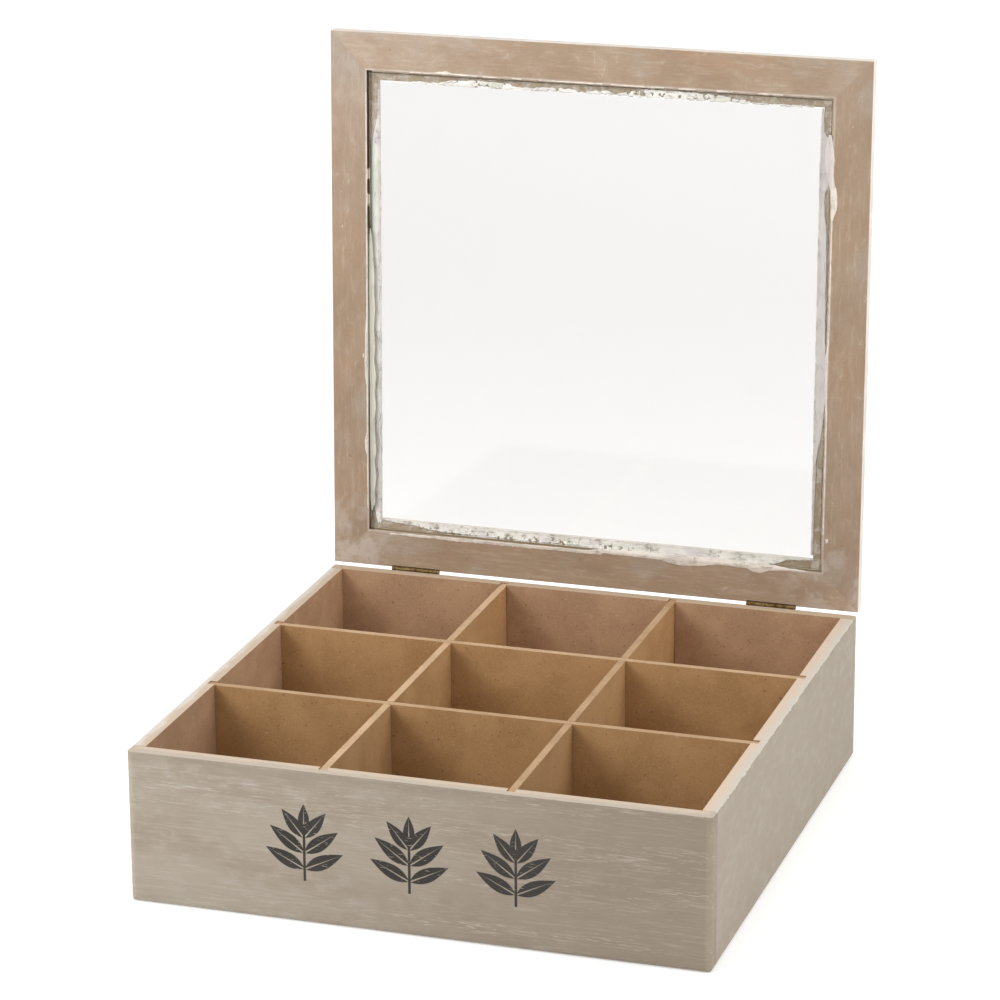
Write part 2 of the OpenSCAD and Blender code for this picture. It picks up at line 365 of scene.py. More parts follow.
limewash = {
    "base": tint(153, 142, 127), "cloud": tint(160, 150, 137), "deep": tint(147, 134, 118),
    "stroke": tint(203, 194, 180), "line": tint(128, 114, 98), "worn": tint(196, 180, 158),
    "strandAmount": 0.42, "fleckAmount": 0.2, "faintAmount": 0.17, "lineAmount": 0.3, "wornAmount": 0.4,
    "farEnd": tint(126, 112, 95), "farAmount": 0.0, "roughLow": 0.62, "roughHigh": 0.8,
    "wearWidth": 0.5 * mm, "bump": 0.05 * mm, "topShade": 0.0, "topReach": (6 * mm, 1.5 * mm),
    "cornerAmount": 0.16, "cornerReach": (3.4 * mm, 1.6 * mm),
    "seam": tint(112, 98, 80), "seamHalf": 0.12 * mm,
}


def seamMask(place, fromX):
    # where the boards of the box meet: side panels stand between the front and the back one
    x, y, _ = split(place)
    off = abs(abs(y) - (boxHigh.y - wallThick))
    uneven = noiseOf(place, 300.0, 2.0, 0.5, 6.0)
    line = 1.0 - band(off, 0.0, limewash["seamHalf"] * band(uneven, 0.3, 0.7, 1.0, 3.0))
    return line * (abs(x) > fromX)


def limewashMaterial(name, along="X", seed=0.0, lid=False, sprigs=False, **changes):
    look = dict(limewash, **changes)
    material, tree = newMaterial(name)
    place, grain = patternPlace(tree, lid, along)
    wash = useGroup(washGrain, {"Vector": grain, "Seed": seed})
    low, high = (lidLow, lidHigh) if lid else (boxLow, boxHigh)
    edge = useGroup(edgeDistance, {"Vector": place, "Low": low, "High": high})["Distance"]
    # pale along the arrises: wear and painted highlight
    worn = useGroup(edgeWear, {
        "Distance": edge, "Vector": place, "Width": look["wearWidth"], "Seed": seed})["Wear"]
    x, y, z = split(place)
    colour = blend(band(wash["Clouds"], 0.36, 0.6), look["deep"], look["base"])
    colour = blend(band(wash["Mottle"], 0.45, 0.68) * 0.8, colour, look["cloud"])
    # painted shade: the board darkens towards its right end, where the light falls off
    if look["farAmount"]:
        colour = blend(band(x, low.x, high.x, 0.0, look["farAmount"]), colour, look["farEnd"])
    colour = layered(
        colour, look, (wash["Dark Lines"], "lineAmount", "line"),
        (wash["Faint Strokes"], "faintAmount", "stroke"), (wash["Flecks"], "fleckAmount", "stroke"),
        (wash["Strands"], "strandAmount", "stroke"), (worn, "wornAmount", "worn"))
    if not lid:
        colour = blend(seamMask(place, boxHigh.x - 1.5 * mm) * 0.5, colour, look["seam"])
        # paler down the upright corners: wear, and a painted highlight on the rounded corner that the lamps
        # light less
        arris = boxHigh.x + boxHigh.y
        start, full = look["cornerReach"]
        corner = band(abs(x) + abs(y), arris - start, arris - full, 0.0, look["cornerAmount"])
        colour = blend(corner, colour, look["worn"])
        start, full = look["topReach"]
        shade = band(z, wallTop - start, wallTop - full, 0.0, look["topShade"])
        colour = blend(shade, colour, look["line"])
    height = wash["Tooth"] + wash["Strands"] * 0.6
    rough = band(wash["Clouds"], 0.3, 0.7, look["roughLow"], look["roughHigh"])
    if sprigs:
        tooth = noiseOf(grain, (260, 1600, 1600), 3.0, 0.6, 5.0)
        painted = sprigMask(place) * band(tooth, 0.68, 0.6)
        colour = blend(painted, colour, sprig["colour"])
        height = height + painted * 0.5
        rough = rough - painted * 0.12
    return coat(material, colour, rough, height, look["bump"])


rawBoard = {
    "base": tint(174, 140, 109), "deep": tint(160, 127, 97), "chip": tint(126, 94, 66),
    "light": tint(196, 160, 128), "dust": tint(206, 176, 148), "feltAmount": 0.6, "chipAmount": 0.75,
    "dustAmount": 0.5, "bump": 0.07 * mm, "rough": 0.86, "roughSwing": 0.06,
    # painted light: the board's tone rises from its front end to its back end
    "drift": None,      # tone of the board at its front end and at its back end
    "film": tint(206, 198, 188), "filmAmount": 0.0,
}


def rawBoardMaterial(name, seed=0.0, lid=False, **changes):
    look = dict(rawBoard, **changes)
    material, tree = newMaterial(name)
    place, _ = patternPlace(tree, lid)
    specks = useGroup(fibreSpecks, {"Vector": place, "Seed": seed})
    colour = blend(band(specks["Patches"], 0.36, 0.64), look["deep"], look["base"])
    colour = layered(
        colour, look, (band(specks["Felt"], 0.45, 0.72), "feltAmount", "light"),
        (specks["Dust"], "dustAmount", "dust"), (specks["Chips"], "chipAmount", "chip"))
    if look["filmAmount"]:
        # smeared thinly over, and grimy
        smeared = noiseOf(place, 230.0, 3.0, 0.62, seed + 3.0, 0.8)
        colour = blend(band(smeared, 0.46, 0.66, 0.0, look["filmAmount"]), colour, look["film"])
        grimy = noiseOf(place, 190.0, 3.0, 0.6, seed + 5.0, 0.6)
        colour = blend(band(grimy, 0.56, 0.7, 0.0, look["filmAmount"]), colour, look["chip"])
    # painted light: brighter towards the back of the box
    if look["drift"]:
        y = split(place)[1]
        colour = toned(colour, band(y, -innerHalf, innerHalf, *look["drift"], curve="LINEAR"))
    rough, swing = look["rough"], look["roughSwing"]
    rough = band(specks["Felt"], 0.3, 0.7, rough - swing, rough + swing)
    return coat(material, colour, rough, specks["Felt"], look["bump"])


wallEdge = {"scuff": tint(164, 147, 127), "rough": 0.82, "bump": 0.05 * mm}


def wallEdgeMaterial(name, seed, outer, inner):
    # sawn top of a wall: sanded pale, with wash left towards the outside
    material, tree = newMaterial(name)
    place, _ = patternPlace(tree)
    x, y, _ = split(place)
    outward = (squareReach(x, y) - innerHalf) / wallThick
    specks = useGroup(fibreSpecks, {"Vector": place, "Seed": seed})
    shifted = outward + (specks["Patches"] - 0.5) * 1.3
    colour = blend(band(shifted, 0.3, 0.75), inner, outer)
    colour = blend(band(specks["Felt"], 0.5, 0.8) * 0.4, colour, wallEdge["scuff"])
    colour = blend(seamMask(place, innerHalf) * 0.7, colour, limewash["seam"])
    return coat(material, colour, wallEdge["rough"], specks["Felt"], wallEdge["bump"])


sideWash = {"base": tint(150, 139, 123), "cloud": tint(156, 146, 131), "deep": tint(144, 132, 116),
            "strandAmount": 0.07, "fleckAmount": 0.08, "faintAmount": 0.08, "lineAmount": 0.12,
            "wearWidth": 0.75 * mm, "worn": tint(224, 216, 203), "wornAmount": 0.7}
washedBoard = {
    "front_panel": limewashMaterial("limewashFront", "X", 1.0, sprigs=True, farAmount=0.75, topShade=0.3,
                                    base=tint(157, 147, 132), deep=tint(145, 132, 116)),
    "back_panel": limewashMaterial("limewashBack", "X", 2.0),
    "left_panel": limewashMaterial("limewashLeft", "Y", 3.0, **sideWash),
    "right_panel": limewashMaterial("limewashRight", "Y", 4.0, **sideWash),
}
wallInside = rawBoardMaterial("boardInside", 1.0, drift=(0.97, 1.16))
underBoard = rawBoardMaterial("boardUnder", 2.0, base=tint(165, 135, 104), deep=tint(150, 120, 90))
# seed of each sawn top, then its wash and its bare board; the back top's tones are darker, painted shade
# under the open lid
sawnTints = {"front_panel": (3.0, (177, 165, 150), (192, 174, 154)),
             "back_panel": (3.4, (180, 161, 139), (184, 162, 136)),
             "left_panel": (3.8, (203, 195, 185), (190, 171, 149)),
             "right_panel": (4.2, (193, 184, 171), (201, 180, 159))}
sawnTop = {
    panel: wallEdgeMaterial("boardTop" + panel.split("_")[0].title(), seed, tint(*outer), tint(*inner))
    for panel, (seed, outer, inner) in sawnTints.items()}
# painted light on each divider's faces, as its tone at the front and at the back, and how much paler its
# sawn edge is
dividers = {"left_divider": ((0.82, 1.2), 14), "right_divider": ((0.8, 1.16), -3),
            "front_cross_divider": ((1.03, 1.03), 0), "back_cross_divider": ((1.06, 1.06), 7)}
sawnBoard = {"base": (178, 146, 112), "deep": (164, 132, 98), "light": (196, 168, 134)}


def dress(name, materials, pick=lambda centre, normal: 0):
    mesh = frame["nodes"][name].data
    mesh.materials.clear()
    for material in materials:
        mesh.materials.append(material)
    for face in mesh.polygons:
        face.material_index = pick(Vector(face.center), Vector(face.normal))


def wallFinish(centre, normal):
    easedTop = 1.2 * mm
    easedCorner = 2.2 * mm
    if normal.z > 0.7 and centre.z > wallTop - easedTop:
        return 1
    skin = boxHigh.x - easedCorner
    for i in (0, 1):
        if abs(centre[i]) > skin and centre[i] * normal[i] > 0.1 * abs(centre[i]):
            return 0
    return 3 if normal.z < -0.5 else 2


for panel, outside in washedBoard.items():
    dress(panel, [outside, sawnTop[panel], wallInside, underBoard], wallFinish)
dress("base_panel", [wallInside, underBoard], lambda centre, normal: 1 if normal.z < -0.5 else 0)

for number, (divider, (drift, lift)) in enumerate(dividers.items()):
    face = rawBoardMaterial("dividerFace" + str(number + 1), 4.0 + number, base=tint(178, 139, 94),
                            deep=tint(164, 126, 81), light=tint(197, 161, 115), drift=drift)
    paler = {tone: tint(*(channel + lift for channel in rgb)) for tone, rgb in sawnBoard.items()}
    edge = rawBoardMaterial("dividerEdge" + str(number + 1), 5.0 + number, chip=tint(140, 108, 76), **paler)
    dress(divider, [face, edge],
          lambda centre, normal: 1 if normal.z > 0.5 and centre.z > wallTop - 5 * mm else 0)
print("box dressed")

# lid frame

lidFace = {
    "base": tint(159, 136, 113), "deep": tint(151, 127, 104), "light": tint(174, 156, 137),
    "warm": tint(162, 133, 107), "cool": tint(159, 142, 124), "streak": tint(198, 184, 167),
    "haze": tint(200, 189, 180), "dab": tint(222, 206, 186), "pit": tint(128, 104, 82),
    "lightAmount": 0.45, "broadAmount": 0.22, "fineAmount": 0.24, "hazeAmount": 0.2, "hazeReach": 120 * mm,
    "rimAmount": 0.65, "smudgeAmount": 0.46, "smudgeReach": 36 * mm, "smudgeInset": 9 * mm,
    "dabAmount": 0.8, "pitAmount": 0.7, "bump": 0.04 * mm,
}
lidEdge = {"base": tint(211, 203, 194), "cloud": tint(219, 213, 206), "deep": tint(201, 192, 182),
           "stroke": tint(226, 220, 212), "line": tint(180, 168, 152), "worn": tint(228, 222, 214)}
# each rail's grain, the tone of its face at the left and at the right end (painted light, darker to the
# right), and its edge along the pane
rails = {"lid_front_rail": ("X", (1.1, 1.03), tint(206, 194, 178)),
         "lid_back_rail": ("X", (1.13, 1.09), tint(242, 235, 224)),
         "lid_left_rail": ("Y", (1.0, 0.99), tint(224, 217, 213)),
         "lid_right_rail": ("Y", (0.99, 0.975), tint(206, 194, 178))}


def railFaceMaterial(name, along, seed, shades):
    # inner face of the lid: wash rubbed thin, with pale strokes along the grain over soft mottling
    look = lidFace
    material, tree = newMaterial(name)
    place, grain = patternPlace(tree, True, along)
    x, y, _ = split(place)
    wide = vectorCalc("MULTIPLY", grain, (0.6, 1.0, 1.0))
    clouds = noiseOf(wide, 58.0, 3.0, 0.55, seed, 0.5)
    hue = noiseOf(wide, 44.0, 2.0, 0.5, seed + 2.0, 0.5)
    patches = noiseOf(wide, 170.0, 4.0, 0.62, seed + 4.0, 0.4)
    broad = noiseOf(grain, (52, 560, 560), 3.0, 0.6, seed, 0.2)
    fine = noiseOf(grain, (150, 1300, 1300), 3.0, 0.6, seed + 1.0, 0.3)
    colour = blend(band(clouds, 0.36, 0.62), look["deep"], look["base"])
    colour = blend(band(hue, 0.52, 0.66, 0.0, 0.6), colour, look["warm"])
    colour = blend(band(hue, 0.48, 0.34, 0.0, 0.8), colour, look["cool"])
    colour = blend(band(patches, 0.5, 0.72, 0.0, look["lightAmount"]), colour, look["light"])
    broad = band(broad, 0.5, 0.7, 0.0, look["broadAmount"]) * band(clouds, 0.4, 0.6, 0.35, 1.0)
    colour = blend(broad, colour, look["streak"])
    colour = blend(band(fine, 0.5, 0.74, 0.0, look["fineAmount"]), colour, look["streak"])
    # paler and greyer round the first corner
    away = vectorCalc("LENGTH", join(x - lidLow.x, y - lidLow.y))
    haze = band(away, look["hazeReach"], 10 * mm, 0.0, look["hazeAmount"])
    colour = blend(haze * band(patches, 0.3, 0.66, 0.4, 1.0), colour, look["haze"])
    # and it is smudged at the mitres, most at the hinges' end
    inset = look["smudgeInset"]
    away = vectorCalc("LENGTH", join(lidHigh.x - inset - abs(x), lidHigh.y - inset - abs(y)))
    cloud = noiseOf(place, 95.0, 3.0, 0.6, 41.0, 0.8)
    smudge = band(away, look["smudgeReach"], 4 * mm) * band(cloud, 0.42, 0.62, 0.1, 1.0)
    smudge = smudge * band(y, -20 * mm, 20 * mm, 0.15, 1.0)
    colour = blend(smudge * look["smudgeAmount"], colour, look["haze"])
    tooth = noiseOf(grain, 1300.0, 3.0, 0.65, seed)
    colour = blend(band(tooth, 0.46, 0.3, 0.0, 0.34), colour, look["pit"])
    # scratches
    bent = noiseOf(place, (60, 34, 60), 2.0, 0.45, seed + 6.0, 1.4)
    scratch = band(abs(bent - 0.5), 0.009, 0.003) * band(patches, 0.54, 0.64, 0.0, 0.3)
    colour = blend(scratch, colour, look["streak"])
    # rubbed pale along the edge of the rebate
    rubbed = band(squareReach(x, y), rebateHalf + 1.1 * mm, rebateHalf + 0.3 * mm)
    rubbed = rubbed * band(patches, 0.36, 0.56, 0.3, look["rimAmount"])
    colour = blend(rubbed, colour, look["haze"])
    # a few dots of sealant or paint, and pits
    dab = noiseOf(place, (290, 290, 290), 3.0, 0.6, 34.0, 1.2)
    colour = blend(band(dab, 0.725, 0.75, 0.0, look["dabAmount"]), colour, look["dab"])
    pit = noiseOf(place, (330, 330, 330), 2.0, 0.5, 35.0, 0.8)
    colour = blend(band(pit, 0.725, 0.76, 0.0, look["pitAmount"]), colour, look["pit"])
    # painted light: the face darkens from its left end to its right
    colour = toned(colour, band(x, lidLow.x, lidHigh.x, *shades, curve="LINEAR"))
    return coat(material, colour, band(hue, 0.3, 0.7, 0.66, 0.8), tooth, look["bump"])


lipBoard = rawBoardMaterial("lipBoard", 6.0, lid=True, base=tint(163, 148, 126), deep=tint(148, 131, 107),
                            light=tint(182, 168, 147), chip=tint(122, 103, 80), filmAmount=0.6)

crevice = {
    # colour of the dirt and painted shade on the left at heights up the open lid, then along the bottom,
    # and elsewhere
    "left": [(82, (118, 94, 70)), (94, (150, 146, 130)), (140, (146, 143, 128)), (152, (186, 182, 168)),
             (212, (180, 174, 158)), (220, (92, 71, 48)), (246, (86, 65, 42)), (288, (98, 77, 54))],
    "bottom": tint(156, 138, 113), "elsewhere": tint(178, 158, 136), "paler": tint(194, 178, 159),
    # middle and half height of the sealant's bridges over it
    "breaks": [(243.0, 2.6), (231.5, 2.8)], "bridge": tint(214, 206, 188), "bump": 0.1 * mm,
    "leftWidth": 2 * mm, "bottomBelow": 85 * mm, "swing": 8 * mm,
}


def creviceMaterial(name):
    # dirt and painted shade in the gap round the pane's edge and up the rebate: dark on the left, bridged
    # in two places
    material, tree = newMaterial(name)
    place = objectPlace(tree)
    x, _, z = split(place)
    uneven = noiseOf(place, 320.0, 3.0, 0.6, 11.0)
    height = z + (uneven - 0.5) * crevice["swing"]
    stops = crevice["left"]
    low, high = stops[0][0] * mm, stops[-1][0] * mm
    ramp = put(tree, "ShaderNodeValToRGB", {"Fac": (height - low) / (high - low)})
    # a new ramp has its two ends
    elements = ramp.color_ramp.elements
    for level, _ in stops[1:-1]:
        elements.new((level * mm - low) / (high - low))
    for element, (_, rgb) in zip(elements, stops):
        element.color = tint(*rgb)
    left = Signal(ramp.outputs["Color"])
    for middle, half in crevice["breaks"]:
        left = blend(band(abs(height - middle * mm), half * mm, half * 0.6 * mm), left, crevice["bridge"])
    colour = blend(band(uneven, 0.42, 0.62), crevice["elsewhere"], crevice["paler"])
    colour = blend(z < crevice["bottomBelow"], colour, crevice["bottom"])
    colour = blend(x < crevice["leftWidth"] - rebateHalf, colour, left)
    return coat(material, colour, band(uneven, 0.3, 0.7, 0.7, 0.85), uneven, crevice["bump"])


# the rebate's walls get the same: dirt and painted shade of the deep rebate
rebateWall = creviceMaterial("rebateWall")


def railFinish(centre, normal):
    place = closeLid @ centre
    facing = closeLid.to_3x3() @ normal
    off = max(abs(place.x), abs(place.y))
    slack = 0.05 * mm
    lipLeast = 3 * mm
    if off < rebateHalf - lipLeast and abs(facing.z) < 0.5:
        return 5
    if off < rebateHalf + slack and place.z < rebateHigh.z + slack:
        return 3 if abs(facing.z) < 0.5 else 2
    if facing.z < -0.5:
        return 1
    return 0 if facing.z > 0.5 else 4


for number, (rail, (along, shades, wiped)) in enumerate(rails.items()):
    tail = rail.split("_")[1].title()
    outside = limewashMaterial("limewashRail" + tail, along, 10.0 + number, lid=True)
    inside = railFaceMaterial("railInside" + tail, along, 20.0 + number, shades)
    rim = limewashMaterial("railRim" + tail, along, 15.0 + number, lid=True, strandAmount=0.3,
                           **({} if rail == "lid_back_rail" else lidEdge))
    dusty = tuple(channel * 0.8 for channel in wiped[:3]) + (1.0,)
    sight = rawBoardMaterial("railSight" + tail, 8.0, lid=True, base=wiped, deep=dusty, light=wiped,
                             dust=wiped, chipAmount=0.2, chip=tint(150, 132, 110))
    dress(rail, [outside, inside, lipBoard, rebateWall, rim, sight], railFinish)

glass = {"colour": (0.786, 0.772, 0.76, 1.0), "smear": (0.778, 0.764, 0.752, 1.0),
         "wiped": (0.97, 0.97, 0.965, 1.0), "wipedFrom": (98.2 * mm, 99.4 * mm),
         "glint": (0.4, 0.4, 0.4, 1.0), "ior": 1.5}


def glassMaterial():
    material, tree = newMaterial("clearGlass")
    place, _ = patternPlace(tree, True)
    x, y, _ = split(place)
    smear = noiseOf(place, 38.0, 3.0, 0.5, 1.0)
    colour = blend(band(smear, 0.55, 0.8), glass["colour"], glass["smear"])
    colour = blend(band(squareReach(x, y), *glass["wipedFrom"]), colour, glass["wiped"])
    shader = paint(material, {
        "Base Color": colour, "Roughness": band(smear, 0.5, 0.8, 0.0, 0.02), "Transmission Weight": 1.0,
        "IOR": glass["ior"], "Specular Tint": glass["glint"]})
    # lamps shine through the pane onto the sealant and the frame behind it
    lampRay = get(tree, "ShaderNodeLightPath", output="Is Shadow Ray")
    clear = get(tree, "ShaderNodeBsdfTransparent")
    both = get(tree, "ShaderNodeMixShader", {0: lampRay, 1: Signal(shader.outputs[0]), 2: clear})
    wire(both, tree.nodes["Material Output"].inputs["Surface"])
    return material


dress("glass_pane", [glassMaterial()])

# sealant, put on by hand round the glass

sealant = {"white": tint(228, 219, 206), "grey": tint(212, 203, 190), "mauve": tint(220, 206, 198),
           "green": tint(214, 209, 193), "stain": tint(176, 163, 142), "crack": tint(134, 124, 108),
           "olive": tint(178, 180, 164), "speck": tint(122, 106, 84), "lilac": tint(195, 187, 184),
           "dim": tint(20, 18, 14), "dimAmount": 0.04, "dimFrom": 0.0,
           "stainAmount": 0.4, "crackAmount": 0.4, "oliveAmount": 0.9, "lilacAmount": 0.75,
           "speckAmount": 0.0, "rough": 0.42, "bump": 0.1 * mm,
           # width of the upright runs, and where the side tones start and are full, in from the rebate
           "runWidth": 6.5 * mm, "sideReach": (6 * mm, 4 * mm),
           # height that the specks stop at, heights they fade between, and how far right they reach
           "speckTop": 90 * mm, "speckFade": (86.6 * mm, 83.4 * mm), "speckRight": (40 * mm, 10 * mm)}


def sealantMaterial(name, **changes):
    look = dict(sealant, **changes)
    material, tree = newMaterial(name)
    place = objectPlace(tree)
    x, y, z = split(place)
    thin = noiseOf(place, 150.0, 3.0, 0.6, 2.0)
    hue = noiseOf(place, 75.0, 2.0, 0.5, 5.0)
    spots = noiseOf(place, 480.0, 3.0, 0.6, 3.0)
    colour = blend(band(thin, 0.42, 0.66), look["white"], look["grey"])
    colour = blend(band(hue, 0.52, 0.66, 0.0, 0.7), colour, look["mauve"])
    colour = blend(band(hue, 0.46, 0.34, 0.0, 0.7), colour, look["green"])
    # wrinkles in the skin, mostly along each side: level lines of fields stretched that way
    upright = abs(x) > rebateHalf - look["runWidth"]
    lying = noiseOf(place, (90, 330, 330), 3.0, 0.55, 7.0, 0.5)
    rising = noiseOf(place, (330, 330, 90), 3.0, 0.55, 7.5, 0.5)
    torn = abs(rising * upright + lying * (1.0 - upright) - 0.5)
    crack = band(torn, 0.02, 0.004) * band(thin, 0.42, 0.54)
    # the wrinkles are darkened: dirt and painted shade in the creases
    colour = blend(crack * look["crackAmount"], colour, look["crack"])
    colour = blend(band(spots, 0.64, 0.7, 0.0, look["stainAmount"]), colour, look["stain"])
    # greyer on the right, up to the rail: a grey tone of the sealant, and painted shade beside the rail
    start, full = look["sideReach"]
    onRight = band(x, rebateHalf - start, rebateHalf - full, 0.0, look["lilacAmount"])
    onRight = onRight * band(x, rebateHalf + 0.4 * mm, rebateHalf - 1.4 * mm, 0.25, 1.0)
    colour = blend(onRight, colour, look["lilac"])
    # painted shade: the left run is darkened above a given height
    onLeft = band(x, start - rebateHalf, full - rebateHalf, 0.0, look["dimAmount"])
    colour = blend(onLeft * band(z, look["dimFrom"], look["dimFrom"] + 8 * mm), colour, look["dim"])
    # greener where it lies over the pane's edge on the left
    across = x + rebateHalf
    olive = band(across, 0.1 * mm, 0.5 * mm) * band(across, 3.2 * mm, 1.4 * mm, 0.0, look["oliveAmount"])
    colour = blend(olive, colour, look["olive"])
    if look["speckAmount"]:
        # specks of board and dirt show through along the bottom
        low = (z < look["speckTop"]) * band(x, *look["speckRight"], 0.0, look["speckAmount"])
        specks = band(spots, 0.55, 0.6) * (low * band(z, *look["speckFade"], 0.3, 1.0))
        colour = blend(specks, colour, look["speck"])
    rough = band(thin, 0.3, 0.7, look["rough"] - 0.08, look["rough"] + 0.12)
    return coat(material, colour, rough, spots - crack, look["bump"])


sealantWhite = sealantMaterial("sealantWhite")
# the part that shows through the pane is cleaner, and its whites are painted paler, painted light to make
# up for the glass's tint
sealantUnder = sealantMaterial(
    "sealantUnderGlass", white=tint(244, 241, 233), grey=tint(226, 222, 214), mauve=tint(230, 222, 222),
    green=tint(218, 220, 204), stain=tint(172, 158, 134), stainAmount=0.2, crackAmount=0.5,
    speckAmount=0.85, dimAmount=0.22, dimFrom=206 * mm)
sealantDirty = creviceMaterial("creviceDirt")


def endShape(tree, shape, finish):
    real = get(tree, "GeometryNodeRealizeInstances", {"Geometry": shape})
    done = get(tree, "GeometryNodeSetMaterial", {"Geometry": real, "Material": finish})
    return endGroup(tree, {"Mesh": done}, "Geometry")


def makeSmearTree():
    # a ragged skin of uneven thickness round flat strips: a volume that thins out away from them
    tree, given = newGroup("sealantSmear", "Geometry", {
        "Geometry": ["Strips"], "Material": ["Finish"],
        "Float": ["Reach", "Raggedness", "Ragged Scale", "Tear", "Flatten", "Voxel", "Voxel Height",
                  "Seed"]})
    where = get(tree, "GeometryNodeInputPosition")
    # heights count more than widths, which keeps the skin flat
    tall = join(1.0, 1.0, given["Flatten"])
    strips = get(tree, "GeometryNodeTransform", {"Geometry": given["Strips"], "Scale": tall})
    away = get(tree, "GeometryNodeProximity", {
        "Geometry": strips, "Sample Position": vectorCalc("MULTIPLY", where, tall)}, "Distance",
        target_element="FACES")
    ragged = noiseOf(where, given["Ragged Scale"], 3.0, 0.6, given["Seed"])
    torn = noiseOf(where, given["Ragged Scale"] * 0.45, 2.0, 0.5, given["Seed"] + 2.0, 0.5)
    crack = band(abs(torn - 0.5), 0.03, 0.0)
    reach = given["Reach"] + (ragged - 0.5) * given["Raggedness"] - crack * given["Tear"]
    reach = calc("MINIMUM", reach, given["Reach"] * 1.4)
    density = calc("MAXIMUM", (reach - away) / mm + 1.0, 0.0)
    around = put(tree, "GeometryNodeBoundBox", {"Geometry": given["Strips"]})
    margin = (1.3 * mm, 1.3 * mm, 0.35 * mm)
    low = vectorCalc("SUBTRACT", Signal(around.outputs["Min"]), margin)
    high = vectorCalc("ADD", Signal(around.outputs["Max"]), margin)
    x, y, z = split(vectorCalc("SUBTRACT", high, low))
    cloud = get(tree, "GeometryNodeVolumeCube", {
        "Density": density, "Background": 0.0, "Min": low, "Max": high, "Resolution X": x / given["Voxel"],
        "Resolution Y": y / given["Voxel"], "Resolution Z": z / given["Voxel Height"]})
    skin = get(tree, "GeometryNodeVolumeToMesh", {"Volume": cloud, "Threshold": 1.0, "Adaptivity": 0.02})
    return endShape(tree, get(tree, "GeometryNodeSetShadeSmooth", {"Geometry": skin}), given["Finish"])


smearTree = makeSmearTree()


def link(name, data):
    piece = bpy.data.objects.new(name, data)
    bpy.context.collection.objects.link(piece)
    return piece


def bakeNodes(mesh, tree, values, name, turn=None):
    # the mesh put through the tree, as a plain mesh
    source = link(name + "Source", mesh)
    modifier = source.modifiers.new("shape", "NODES")
    modifier.node_group = tree
    sockets = {item.name: item.identifier for item in tree.interface.items_tree if item.in_out == "INPUT"}
    for label, value in values.items():
        modifier[sockets[label]] = value
    bpy.context.view_layer.update()
    ready = source.evaluated_get(bpy.context.evaluated_depsgraph_get())
    baked = bpy.data.meshes.new_from_object(ready)
    source.modifiers.remove(modifier)
    bpy.data.objects.remove(source)
    if turn:
        baked.transform(turn)
    return baked


# Every patch runs along one side of the rebate. Along is counted from the corner that comes first going
# round from the top left, across from the rebate's wall (minus is out over the rail), all in millimetres:
# (along, outer edge, inner edge) at each station.
sealantBed = {
    "top": [[(20, 4.3, 4.9), (31.5, 4.0, 5.0), (36, 3.2, 5.0), (40, 2.4, 5.1), (50, 2.1, 5.1),
        (58, 2.3, 5.1), (64, 2.6, 5.0), (67, 3.9, 5.0), (73, 3.8, 5.0), (79, 3.3, 5.0), (86, 2.9, 5.0),
        (92, 3.3, 4.9), (98, 4.2, 4.9), (103, 3.0, 4.9), (108, 3.0, 4.9), (112, 3.9, 4.9),
        (116, 3.2, 4.9), (120.5, 1.9, 5.0), (125, 1.3, 5.0), (130, 1.4, 5.0), (144, 1.3, 5.0),
        (156, 1.8, 5.0), (165, 3.1, 5.0), (173, 4.1, 4.9), (186, 4.4, 4.9), (198, 4.4, 4.8)]],
    "right": [[(5, 4.5, 5.6), (15, 4.4, 5.9), (17.5, 2.2, 5.9), (20, 0.6, 6.0), (26, 0.3, 6.0),
        (34, 0.3, 6.0), (37, 1.2, 6.0), (40, 2.9, 6.0), (45, 3.4, 6.0), (51, 3.1, 5.9), (56, 2.2, 5.9),
        (70, 1.9, 5.9), (105, 1.6, 5.8), (112, 0.5, 5.8), (131, 0.4, 5.8), (140, 1.6, 5.8),
        (149, 2.6, 5.7), (158, 4.1, 5.7), (200, 4.4, 5.5)]],
    "bottom": [[(4, 4.3, 4.9), (16, 3.6, 4.9), (21, 0.9, 4.9), (40, 0.6, 5.0), (101, 0.6, 5.1),
        (110, 1.0, 5.1), (156, 0.9, 5.1), (168, 1.2, 5.0), (179, 1.5, 5.0), (184, 2.8, 4.9),
        (193, 3.5, 4.9), (200, 4.1, 4.8)]],
    "left": [[(3, 3.4, 5.2), (7, 2.6, 5.4), (11, 1.5, 5.5), (15, 1.1, 5.7), (24, 1.1, 5.8),
        (67, 1.1, 5.8), (131, 1.1, 5.8), (166, 1.1, 5.8), (175, 1.3, 5.8), (179, 2.2, 5.7),
        (184, 3.6, 5.5), (188, 4.4, 5.3), (198, 4.5, 5.0)]],
}
